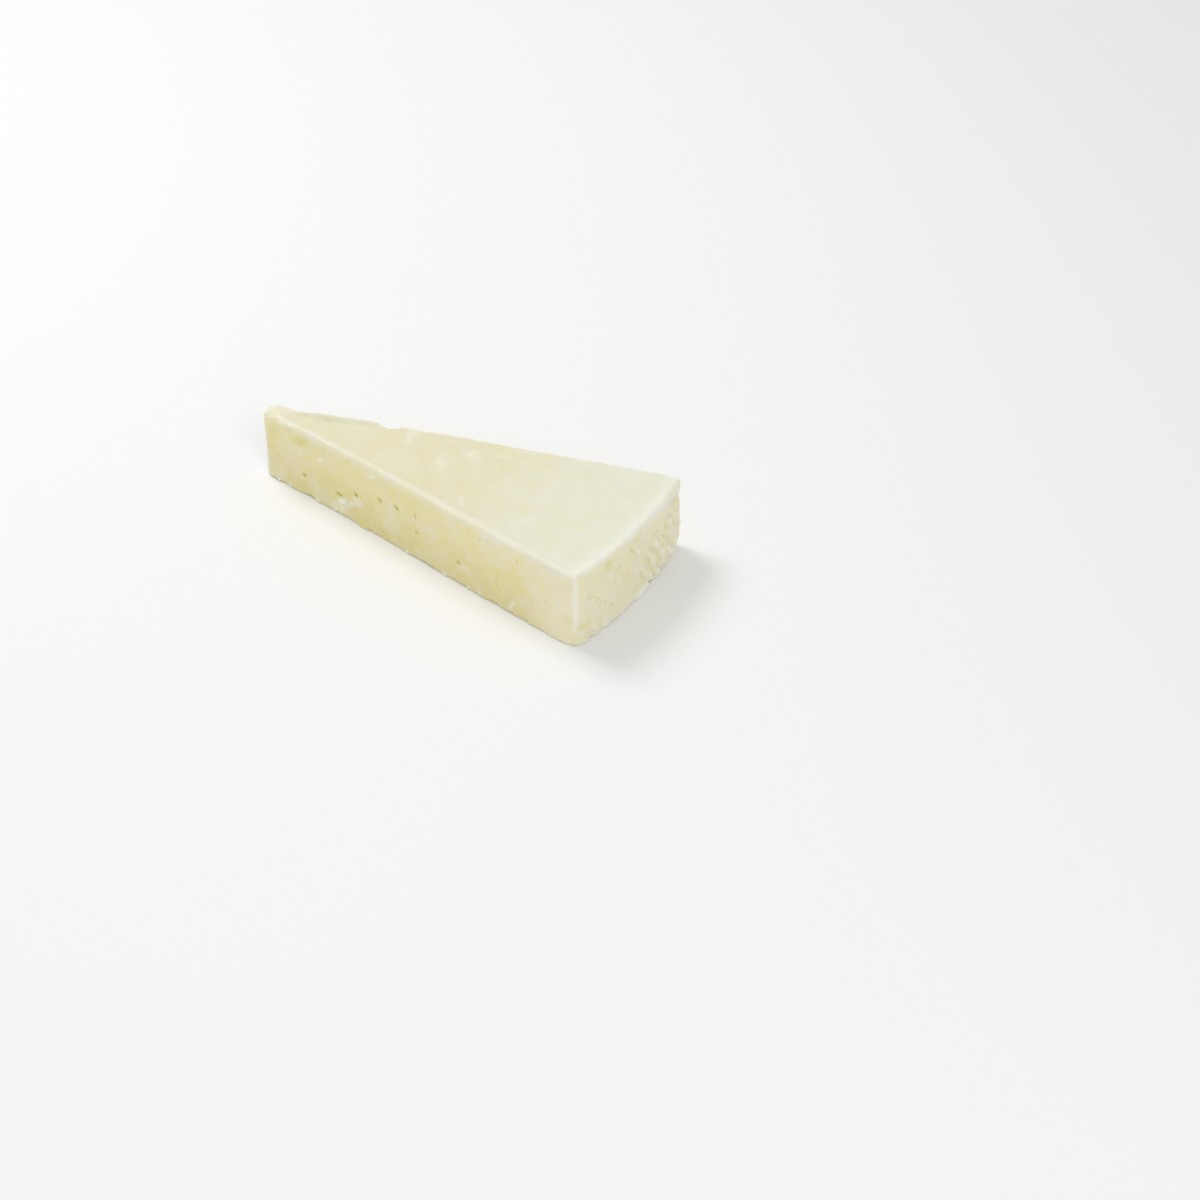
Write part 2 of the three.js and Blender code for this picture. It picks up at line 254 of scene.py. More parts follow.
def roundTop(bm):
    at = Places(bm)
    count = len(at.x)
    corner = topEdge["corner"]
    sides = np.stack((at.inFront, at.inRear, at.inHeel, at.inTip))
    outs = np.stack((
        np.tile(frontOut, (count, 1)),
        np.tile(rearOut, (count, 1)),
        at.radial(),
        np.tile((-1.0, 0, 0), (count, 1)),
    ))
    lack = np.maximum(corner - sides, 0)
    pull = (lack[:, :, None] * outs).sum(0)
    reach = np.linalg.norm(pull, axis=1)
    near = reach > tiny
    nearest = np.argmin(sides, axis=0)
    inside = np.where(near, corner - reach, sides.min(0))
    pull = pull / np.maximum(reach, tiny)[:, None]
    ahead = np.where(near[:, None], pull, outs[nearest, np.arange(count)])
    heelShare = ramp(-at.inHeel, *topEdge["heelReach"])
    tipShare = 1 - ramp(at.inTip, *topEdge["tipReach"])
    heelSofter = (topEdge["heelRear"] - topEdge["heelFront"]) * ramp(at.y, *topEdge["heelTurn"])
    radius = topEdge["cuts"] + heelShare * (topEdge["heelFront"] + heelSofter - topEdge["cuts"])
    radius = radius + tipShare * (topEdge["tip"] - topEdge["cuts"])
    radius = radius * (1 + topEdge["uneven"] * uneven(at.points, *topEdge["patches"]))
    down, inward = arcOver(at.below, inside, radius)
    moved = at.points - ahead * inward[:, None]
    moved[:, 2] -= down
    writePoints(bm, moved)


# Below the crease at the front and near the base at the rear, the heel's upright corners are worn round.
feet = {
    "front": {"radius": 5.0, "top": 9.0, "full": 4.5, "wall": frontOut},
    "rear": {"radius": 5.5, "top": 7.5, "full": 0.5, "wall": rearOut},
}


def roundFeet(bm):
    for foot in feet.values():
        at = Places(bm)
        inWall = -(at.points @ foot["wall"])
        share = 1 - ramp(at.z, foot["full"], foot["top"])
        radius = np.maximum(foot["radius"] * share, same)
        toWall, toHeel = arcOver(inWall, at.inHeel, radius)
        # over the base the move fades inwards
        deep = np.minimum(inWall, at.inHeel)
        fade = np.clip(1 - deep / radius, 0, 1) * at.onBase
        flatWall, flatHeel = arcOver(inWall - deep, at.inHeel - deep, radius)
        toWall = toWall * (1 - at.onBase) + fade * flatWall
        toHeel = toHeel * (1 - at.onBase) + fade * flatHeel
        moved = at.points - toWall[:, None] * foot["wall"] - toHeel[:, None] * at.radial()
        writePoints(bm, np.where((share > same)[:, None], moved, at.points))


# The heel was pressed in a basket. Its lumps and pits: across, up, half width, half height, height or depth.
heel = {
    "lean": -0.4,  # sideways for each millimetre up
    "lumps": [
        (11.8, 17, 2, 3.6, 0.65), (16.4, 9.8, 2.2, 3.4, 0.65), (9, 12.4, 1.9, 3.6, 0.6),
        (23.2, 6.4, 2.2, 2.8, 0.6), (7.4, 6.8, 1.6, 3.4, 0.5), (4.2, 9.6, 1.3, 2.4, 0.55),
        (12.4, 4.8, 1.7, 3, 0.55), (15.6, 16.4, 1.2, 2.4, 0.45), (19.4, 3.6, 1.8, 2.2, 0.45),
        (22.6, 19.6, 1.7, 1.9, 0.65), (24, 13.4, 1.8, 2.6, 0.5), (26.6, 19, 1.2, 4.6, 0.5),
        (29.8, 15.5, 1.4, 5.6, 0.55), (32.6, 13, 1.2, 5, 0.4), (28.2, 6.8, 2.2, 3.2, 0.45),
        (-0.6, 22.4, 1.7, 3, 0.5), (-5, 17.4, 2.2, 3.4, 0.42), (-8.6, 19.6, 1.4, 2.6, 0.35),
        (-11.4, 16.2, 2.2, 3.6, 0.45), (-16.2, 21.8, 1.6, 2.6, 0.3), (0.6, 13, 2.2, 3.6, 0.36),
        (6, 2.6, 1.6, 2, 0.35), (-25.4, 5.2, 2.4, 2.4, 0.4), (-19, 5, 2, 2.4, 0.35),
        (3.4, 27.6, 2.4, 2, 0.2), (19.4, 24.2, 2, 2.4, 0.25),
    ],
    "pits": [
        (-27.8, 19.9, 1.3, 0.8, 0.45), (-25.4, 17.7, 1.3, 0.8, 0.5), (-23.1, 15.4, 1.3, 0.8, 0.4),
        (-20.8, 13.1, 1.3, 0.8, 0.45), (-18.4, 10.9, 1.3, 0.8, 0.35), (-16.1, 8.6, 1.3, 0.8, 0.3),
        (-17.7, 27.2, 1.6, 1.4, 0.25), (-11.6, 22.2, 1.6, 1, 0.3), (-5.8, 22.3, 1.7, 0.8, 0.35),
        (-3.8, 25, 0.8, 2, 0.35), (-1.2, 27.4, 1.4, 0.8, 0.3), (4.4, 13.4, 1.2, 0.9, 0.4),
        (2, 10.2, 0.8, 1.3, 0.35), (8, 17.2, 1, 1.1, 0.45), (12.6, 21.6, 1.8, 0.8, 0.5),
        (17.6, 15.6, 1, 1.2, 0.4), (13.2, 12.4, 0.8, 1.6, 0.4), (12.2, 9.2, 0.9, 1.5, 0.4),
        (20.4, 14.6, 1, 2.2, 0.35), (22.4, 10.2, 1.8, 0.7, 0.35), (23.4, 16.5, 1.6, 0.6, 0.5),
        (24.3, 27.6, 1.8, 0.7, 0.3), (19.9, 19.8, 0.9, 1.6, 0.3), (20.2, 7, 0.7, 1.4, 0.35),
        (26.6, 10.4, 0.8, 1.8, 0.35), (-22, 7.4, 0.8, 1, 0.25),
    ],
    "strength": 2.3,  # of the lumps and pits
    # the lumps are whitened, partly paler curds and partly a painted highlight; the pits and the gaps round
    # strong lumps are painted in shade
    "fullLump": 0.6,  # a lump this high and a pit this deep are toned in full
    "fullPit": 0.5,
    "lumpEdge": 1.25,  # where a lump ends, in its half sizes
    "crown": 0.5,  # the share of a strong lump that is flat, and the heights at which it gets so
    "crownFrom": (0.42, 0.6),
    "overlap": 0.3,  # how deep the valley between two lumps is
    # Round a strong lump the gap gets the pits' painted shade: where, in half sizes, how far, how strong the
    # lump is, and how much
    "gap": {"middle": 1.3, "reach": 0.4, "from": (0.36, 0.6), "share": 0.3},
    "streaks": {"out": 0.2, "noise": ((2.4, 2.4, 5.0), 13, 2), "foot": (2, 6), "rim": (28, 23)},
    "groove": {"across": 34, "up": 22.8, "climb": 0.32, "deep": 1.5, "wide": 1.4, "start": (18, 32)},
    "crease": {"across": -33, "up": 9.2, "fall": 0.4, "deep": 0.5, "wide": 0.9, "end": (-30, -22)},
    # Along the foot the rim steps in: where across, how far, and over what width it comes back out
    "steps": [
        (-27.8, 1.2, 4.5), (-22.4, 1.1, 6), (-3.2, 0.4, 3), (7.2, 1.6, 8), (15.6, 1.2, 7), (29.5, 0.8, 4),
    ],
    "stepLean": 0.12,
    "stepSharp": 0.35,
    "stepsHigh": 3.4,
    "toe": {"across": 2.2, "wide": 4.6, "out": 0.5},
    # Noises that bend the outlines, and how far each does so, across and up
    "bend": (5, 11),
    "small": (1.9, 12, 2),
    "warpAcross": (3.4, 14),
    "warpUp": (3.4, 15),
    "bendBy": (0.5, 0.4),
    "smallBy": (0.25, 0.4),
    "warpBy": (0.7, 1.1),
    "pitBendBy": 0.3,
    "pitSharp": 1.3,
    "lumpGrain": 0.05,
}


def heelForms(at):
    y, z = at.y, at.z
    proud = np.zeros_like(y)
    lumpShare, pitShadeShare, gapShare = np.zeros((3, len(y)))
    bend = uneven(at.points, *heel["bend"])
    small = uneven(at.points, *heel["small"])
    warpY = heel["bendBy"][0] * bend + heel["smallBy"][0] * small
    warpY = warpY + heel["warpBy"][0] * uneven(at.points, *heel["warpAcross"])
    warpZ = heel["bendBy"][1] * bend - heel["smallBy"][1] * small
    warpZ = warpZ + heel["warpBy"][1] * uneven(at.points, *heel["warpUp"])
    gap, streaks = heel["gap"], heel["streaks"]
    for across, up, wide, tall, high in heel["lumps"]:
        aside = (y - across - heel["lean"] * (z - up) + warpY) / wide
        rise = (z - up + warpZ) / tall
        reach = np.hypot(aside, rise)
        form = high * ramp(reach, heel["lumpEdge"], heel["crown"] * ramp(high, *heel["crownFrom"]))
        proud = np.maximum(proud, form) - heel["overlap"] * np.minimum(proud, form)
        lumpShare = np.maximum(lumpShare, form / heel["fullLump"])
        gapShare = np.maximum(gapShare, hill(reach - gap["middle"], gap["reach"]) * ramp(high, *gap["from"]))
    for across, up, wide, tall, deep in heel["pits"]:
        aside = (y - across - heel["lean"] * (z - up) + heel["pitBendBy"] * bend) / wide
        rise = (z - up - heel["pitBendBy"] * bend) / tall
        pit = np.exp(-((aside**2 + rise**2) ** heel["pitSharp"]))
        proud -= deep * pit
        pitShadeShare = np.maximum(pitShadeShare, pit * deep / heel["fullPit"])
    upright = uneven(at.points, *streaks["noise"]) * ramp(z, *streaks["foot"]) * ramp(z, *streaks["rim"])
    proud = proud * heel["strength"] + heel["lumpGrain"] * small * lumpShare + streaks["out"] * upright
    pitShadeShare = np.maximum(pitShadeShare, gap["share"] * np.clip(gapShare - lumpShare, 0, 1))
    groove, crease = heel["groove"], heel["crease"]
    grooveUp = groove["up"] + np.maximum(0, groove["across"] - y) * groove["climb"]
    proud -= groove["deep"] * ramp(y, *groove["start"]) * hill(z - grooveUp, groove["wide"])
    creaseUp = crease["up"] - np.maximum(0, y - crease["across"]) * crease["fall"]
    proud -= crease["deep"] * (1 - ramp(y, *crease["end"])) * hill(z - creaseUp, crease["wide"])
    foot = heel["toe"]["out"] * hill(y - heel["toe"]["across"], heel["toe"]["wide"])
    for across, deep, wide in heel["steps"]:
        past = y - across - heel["stepLean"] * z
        foot = foot - deep * ramp(past, -heel["stepSharp"], heel["stepSharp"]) * (1 - ramp(past, 0, wide))
    proud += foot * hill(z, heel["stepsHigh"])
    return proud, lumpShare, pitShadeShare


# The cut faces. Eyes: how far out from the wheel's middle, how high, half width, half height, lean, depth.
cuts = {
    "frontEyes": [
        (29.7, 9.5, 1, 0.8, 0, 0.5), (47.2, 9.4, 1.9, 0.6, -0.15, 0.9), (55.7, 13.6, 0.9, 1, 0.5, 0.7),
        (68.1, 17.9, 0.9, 1, 0.64, 0.45), (76.1, 18.7, 0.8, 1.25, 0.78, 0.45),
        (85.1, 19.6, 0.45, 1.5, 0.1, 0.3), (85.7, 12.6, 0.8, 0.75, 0, 0.35),
        (105.6, 9.9, 0.9, 0.7, 0.3, 0.5), (126.9, 11.7, 0.5, 0.6, 0, 0.2), (133.4, 25.9, 0.5, 0.6, 0, 0.2),
        (145.7, 14, 0.45, 0.6, 0, 0.18), (116.4, 26.2, 0.8, 0.5, 0.4, 0.3),
    ],
    # The rear's are drawn, one in each stretch of the cut: these are the ranges they are drawn from
    "stretches": range(14, 144, 11),
    "rearWide": (0.7, 2.1),
    "rearTall": (0.5, 1.6),  # for each millimetre of width
    "rearAlong": (0, 10),
    "rearUp": (4, 27),
    "rearLean": (-0.8, 0.8),
    "rearDepth": 0.3,  # for each millimetre of width
    "ragged": {"share": 0.22, "noise": (0.9, 21), "reach": 1.6},
    "lip": {"high": 0.05, "middle": 1.2, "reach": 0.25},
    "halo": {"from": 0.7, "reach": 0.9},
    "fullDepth": 0.5,  # an eye this deep is coloured in full
    "onCut": 0.4,  # the least that a point shows to the side of the cut, to be in an eye
    "specks": [  # crumbs that stand out: x, up, half size, how far
        (48.2, 6.4, 1.1, 0.35), (53, 8.4, 0.7, 0.3), (55.6, 11.6, 0.6, 0.3), (38.4, 21, 0.5, 0.25),
        (64.5, 26.2, 0.6, 0.25), (84.2, 18.4, 0.6, 0.25), (98.7, 0.9, 0.8, 0.5), (44.1, 0.8, 0.8, 0.5),
        (36, 0.9, 0.7, 0.5), (22, 0.9, 0.8, 0.5), (108.3, 8.6, 0.8, 0.25), (118, 27.2, 0.9, 0.3),
        (110, 0.8, 0.8, 0.5), (125, 0.8, 0.8, 0.5), (80.5, 0.9, 0.7, 0.5), (16.5, 1, 0.8, 0.4),
    ],
    "speckRagged": 0.3,
    "speckNoise": (0.9, 22),
    # The cuts aren't quite flat: slow waves by their lengths along and up, a bow along the front, and two
    # swells on the rear
    "knife": 0.08,
    "waves": [(7, 4), (4.4, -9)],
    "bow": 0.45,
    "rearSwell": {"high": 0.5, "along": 0.2, "reach": 0.15},
    "rearTip": {"high": 1.2, "in": 6, "reach": 3.5},
}


def faceForms(at):
    along = at.inTip / (wedge["wheelRadius"] - wedge["tipInset"])
    waves = cuts["knife"] * sum(np.sin(at.x / length + at.z / height) for length, height in cuts["waves"])
    front = waves - cuts["bow"] * np.sin(2 * math.pi * along)
    swell, tip = cuts["rearSwell"], cuts["rearTip"]
    rear = waves + swell["high"] * hill(along - swell["along"], swell["reach"])
    rear = rear + tip["high"] * hill(at.inTip - tip["in"], tip["reach"])
    return np.where(at.aheadY < 0, front, rear) * (1 - np.abs(at.aheadX) ** 4)


def pressForms(bm):
    at = Places(bm)
    heelShare = ramp(at.aheadX, *facing["heelForms"])
    lumps, lumpShare, pitShadeShare = heelForms(at)
    push = at.side * (heelShare * lumps + (1 - heelShare) * faceForms(at))
    moved = at.points.copy()
    moved[:, 0] += at.aheadX * push
    moved[:, 1] += at.aheadY * push
    writePoints(bm, moved)
    return lumpShare * at.onHeel, np.clip(pitShadeShare, 0, 1) * at.onHeel


def rearEyes():
    eyes = []
    for start in cuts["stretches"]:
        wide = draw(*cuts["rearWide"])
        tall = wide * draw(*cuts["rearTall"])
        x = wedge["tipInset"] + start + draw(*cuts["rearAlong"])
        up, lean = draw(*cuts["rearUp"]), draw(*cuts["rearLean"])
        eyes.append((x, up, wide / 2, tall / 2, lean, cuts["rearDepth"] * wide))
    return eyes


def eyeDistance(x, z, eye):
    # 1 on the outline of an eye, flake or spot, which is turned by its lean
    across, up = x - eye[0], z - eye[1]
    turned = across * math.cos(eye[4]) + up * math.sin(eye[4])
    risen = up * math.cos(eye[4]) - across * math.sin(eye[4])
    return np.hypot(turned / eye[2], risen / eye[3])


# Where the net is made finer: between these y and z on the heel, and this far round each eye. The normal says
# which faces are too level for either and which are the heel's.
finer = {"heel": [((-3, 33), (1, 27)), ((-30, -14), (6, 22))], "round": 0.7, "level": 0.8, "heelward": 0.5}


def refine(bm, eyes):
    # splits the faces round each eye and over the heel's lumps, where forms are finer than the net
    def fine(face):
        p = face.calc_center_median()
        n = face.normal
        if abs(n.z) > finer["level"]:
            return False
        if n.x > finer["heelward"]:
            return any(y[0] < p.y < y[1] and z[0] < p.z < z[1] for y, z in finer["heel"])
        for eye in eyes["front" if n.y < 0 else "rear"]:
            reach = max(eye[2], eye[3]) + finer["round"]
            if abs(p.x - eye[0]) < reach and abs(p.z - eye[1]) < reach:
                return True
        return False

    faces = [f for f in bm.faces if fine(f)]
    edges = list({e for f in faces for e in f.edges})
    bmesh.ops.subdivide_edges(bm, edges=edges, cuts=1, use_grid_fill=True)


def hollowEyes(bm, eyes):
    at = Places(bm)
    moved = at.points.copy()
    depth, halo, crumb = np.zeros((3, len(at.x)))
    ragged, lip, ring = cuts["ragged"], cuts["lip"], cuts["halo"]
    for name, share, out in (("front", at.onFront, frontOut), ("rear", at.onRear, rearOut)):
        for eye in eyes[name]:
            distance = eyeDistance(at.x, at.z, eye)
            near = (distance < ragged["reach"]) & (share > cuts["onCut"])
            torn = distance[near] * (1 + ragged["share"] * uneven(at.points[near], *ragged["noise"]))
            bowl = np.sqrt(np.clip(1 - torn**2, 0, 1)) * share[near]
            raised = lip["high"] * hill(torn - lip["middle"], lip["reach"])
            strength = min(1, eye[5] / cuts["fullDepth"])
            moved[near] -= (eye[5] * bowl - raised)[:, None] * out
            depth[near] = np.maximum(depth[near], bowl * strength)
            around = share * hill(np.maximum(distance - ring["from"], 0), ring["reach"]) * strength
            halo = np.maximum(halo, around)
    grain = 1 + cuts["speckRagged"] * uneven(at.points, *cuts["speckNoise"])
    for x, up, size, proud in cuts["specks"]:
        speck = hill(np.hypot(at.x - x, at.z - up) * grain, size) * at.onFront
        moved += (proud * speck)[:, None] * frontOut
        crumb = np.maximum(crumb, speck)
    writePoints(bm, moved)
    return depth, halo, crumb


# Where pieces broke away: middle, half sizes along the cut, in from it and up, and the way the break goes
breaks = {
    "rearTop": {"x": 56.2, "up": 0.4, "sizes": (5.4, 3.0, 2.8), "inward": (-0.7, -0.7)},
    "rearNick": {"x": 141.7, "up": 0.0, "sizes": (1.3, 0.9, 1.1), "inward": (-0.7, -0.7)},
}
# Shallow ones, on the front cut: x, up, half width, half height, lean, depth
flakes = {
    "white": (49.8, 6.4, 3.2, 3.0, -0.3, 0.65),
    "whiteBeyond": (56.9, 10.2, 3.4, 1.5, 0.2, 0.3),
    "rough": (118.5, 27.4, 1.9, 1.6, 0.6, 0.45),
    "roughBeyond": (121.0, 25.0, 1.6, 1.1, 0.6, 0.3),
    "low": (130.6, 5.4, 1.0, 2.0, -0.8, 0.3),
    "streak": (108.1, 8.4, 1.9, 1.0, 0.3, 0.3),
}
# How uneven both are: the share or height of each noise, and the noise
torn = {
    "outline": (0.10, (2.2, 31)),
    "flakeOutline": (0.35, (1.6, 33, 2)),
    "grain": (0.16, (0.8, 34, 2)),
    "swell": (0.18, (1.7, 35)),
    "flakeWall": 0.45,  # the share of a flake's half width that its wall takes
    "shownFrom": (0.1, 0.9),  # how far a point moved, to be a little and wholly broken
}


def tornBy(at, name):
    much, kind = torn[name]
    return much * uneven(at.points, *kind)


def breakAway(bm):
    at = Places(bm)
    moved = at.points.copy()
    broken = np.zeros_like(at.x)
    axes = np.stack(((math.cos(half), math.sin(half), 0), rearOut, (0, 0, 1)))
    wobble = 1 + tornBy(at, "outline")[:, None]
    for item in breaks.values():
        y = item["x"] * math.tan(half)
        middle = np.array((item["x"], y, topHeight(item["x"], y) + item["up"]))
        local = (moved - middle) @ axes.T / item["sizes"] * wobble
        inside = (local**2).sum(1) < 1
        way = np.array((0, *item["inward"]))
        # each point inside the broken piece goes on that way until it is at its far wall
        ahead = way / item["sizes"]
        slope = local[inside] @ ahead
        lack = (local[inside] ** 2).sum(1) - 1
        step = (-slope + np.sqrt(slope * slope - (ahead @ ahead) * lack)) / (ahead @ ahead)
        moved[inside] += step[:, None] * (way @ axes)
        broken[inside] = np.maximum(broken[inside], ramp(step, *torn["shownFrom"]))
    tear = 1 + tornBy(at, "flakeOutline")
    for flake in flakes.values():
        bowl = ramp(1 - eyeDistance(at.x, at.z, flake) * tear, 0, torn["flakeWall"]) * at.onFront
        moved -= (flake[5] * bowl)[:, None] * frontOut
        broken = np.maximum(broken, bowl)
    rough = tornBy(at, "grain") + tornBy(at, "swell")
    moved += (rough * broken)[:, None] * at.out
    writePoints(bm, moved)
    return broken


# Crumbs and chips that the knife left along the foot, crumbs on the tip and the top's edges, and low relief
crumbs = {
    "foot": 0.45,
    "footChips": 0.65,
    "footFrom": 0.3,
    "footReach": 1.3,
    "waver": 0.16,  # of the foot's outline, and the lengths of its two waves
    "waves": (2.9, 1.3),
    "edge": 0.14,
    "edgeWorn": 0.6,
    "rim": (0.8, 1.1),  # where the crumbs on the top's edges are, and how far they reach
    "tip": 0.5,
    "tipSunk": 0.2,
    "tipReach": (3, 10),
    "tipDown": (5, 1),
    "rear": 0.34,  # the torn edge over the rear cut: where it is from the cut, from which x and to which
    "rearBand": (1.4, 1.3),
    "rearStart": (22, 28),
    "rearEnd": (70, 48),
    "rearNoise": (1.0, 49, 2),
    "low": 0.1,
    "lowNoise": (13, 48, 2),
    "top": 0.11,
    "topReach": (62, 26),
    "topNoise": (3.2, 50, 2),
    "rimChalk": 0.8,
    "tipChalk": 0.3,
    "base": (0.9, 0.4),  # how much a point of the flat base faces down, at least, and how high it is, at most
}
# Where they are scattered: a noise, and the values at which crumbs begin and are full
scatters = {
    "foot": ((0.85, 41), (0.05, 0.5)),
    "footAway": ((7, 42), (-0.35, 0.35)),
    "chip": (((3.4, 3.4, 3.0), 43, 2), (0.15, 0.55)),
    "edge": ((0.7, 44), (0.2, 0.6)),
    "edgeAway": ((9, 45), (-0.1, 0.4)),
    "edgeWorn": ((2.4, 46), (0.1, 0.6)),
    "tip": ((0.95, 47), (0.0, 0.4)),
}


def scatter(at, name):
    kind, reach = scatters[name]
    return ramp(uneven(at.points, *kind), *reach)


def crumble(bm):
    at = Places(bm)
    foot = at.side * hill(np.maximum(at.z - crumbs["footFrom"], 0), crumbs["footReach"])
    speck = scatter(at, "foot") * scatter(at, "footAway")
    longWave, shortWave = crumbs["waves"]
    waver = crumbs["waver"] * (np.sin(at.x / longWave) + np.sin(at.x / shortWave + at.y)) * (1 - at.onHeel)
    footMove = foot * (crumbs["foot"] * speck - crumbs["footChips"] * scatter(at, "chip") + waver)
    rim = hill(np.hypot(at.inNearest(), at.below) - crumbs["rim"][0], crumbs["rim"][1])
    edgeSpeck = scatter(at, "edge") * scatter(at, "edgeAway")
    edgeMove = rim * crumbs["edge"] * (edgeSpeck - crumbs["edgeWorn"] * scatter(at, "edgeWorn"))
    tipTop = (1 - ramp(at.inTip, *crumbs["tipReach"])) * ramp(at.below, *crumbs["tipDown"]) * (1 - at.onBase)
    tipSpeck = scatter(at, "tip")
    tipMove = tipTop * crumbs["tip"] * (tipSpeck - crumbs["tipSunk"])
    overRear = ramp(at.x, *crumbs["rearStart"]) * ramp(at.x, *crumbs["rearEnd"]) * at.onTop
    overRear = overRear * hill(at.inRear - crumbs["rearBand"][0], crumbs["rearBand"][1])
    rearMove = crumbs["rear"] * overRear * uneven(at.points, *crumbs["rearNoise"])
    low = crumbs["low"] * uneven(at.points, *crumbs["lowNoise"]) * (1 - at.onBase)
    onTop = at.onTop * ramp(at.x, *crumbs["topReach"])
    low = low + crumbs["top"] * uneven(at.points, *crumbs["topNoise"]) * onTop
    moved = at.points + (edgeMove + tipMove + rearMove + low)[:, None] * at.out
    moved[:, 0] += footMove * at.aheadX
    moved[:, 1] += footMove * at.aheadY
    down, high = crumbs["base"]
    flat = (at.onBase > down) & (at.z < high)
    moved[:, 2] = np.where(flat, 0, np.maximum(moved[:, 2], 0))
    writePoints(bm, moved)
    chalk = foot * speck + crumbs["rimChalk"] * rim * edgeSpeck + crumbs["tipChalk"] * tipTop * tipSpeck**2
    return np.clip(chalk, 0, 1)


# How far inside its outline the base is flat and needs few faces: from the cuts, the tip and the heel
baseInset = {"cuts": 2.5, "tip": 3, "heel": 5}


def plainBase(bm):
    def plain(face):
        middle = face.calc_center_median()
        return (
            all(v.co.z < tiny for v in face.verts)
            and min(-(middle @ Vector(out)) for out in (frontOut, rearOut)) > baseInset["cuts"]
            and middle.x > wedge["tipInset"] + baseInset["tip"]
            and middle.xy.length < wedge["wheelRadius"] - baseInset["heel"]
        )

    bmesh.ops.dissolve_faces(bm, faces=[f for f in bm.faces if plain(f)], use_verts=False)


bm = coverEvenly(cutBlank())
print("skin laid:", len(bm.verts), "points")
points = readPoints(bm)
points[:, 2] *= topHeight(points[:, 0], points[:, 1]) / wedge["heelHeight"]
writePoints(bm, points)
roundTop(bm)
roundFeet(bm)
eyes = {"front": cuts["frontEyes"], "rear": rearEyes()}
refine(bm, eyes)
lumpShare, pitShadeShare = pressForms(bm)
print("wedge pressed and cut")
eyeDepth, halo, speck = hollowEyes(bm, eyes)
broken = breakAway(bm)
chalk = np.maximum(crumble(bm), speck)
print("eyes, breaks and crumbs made")
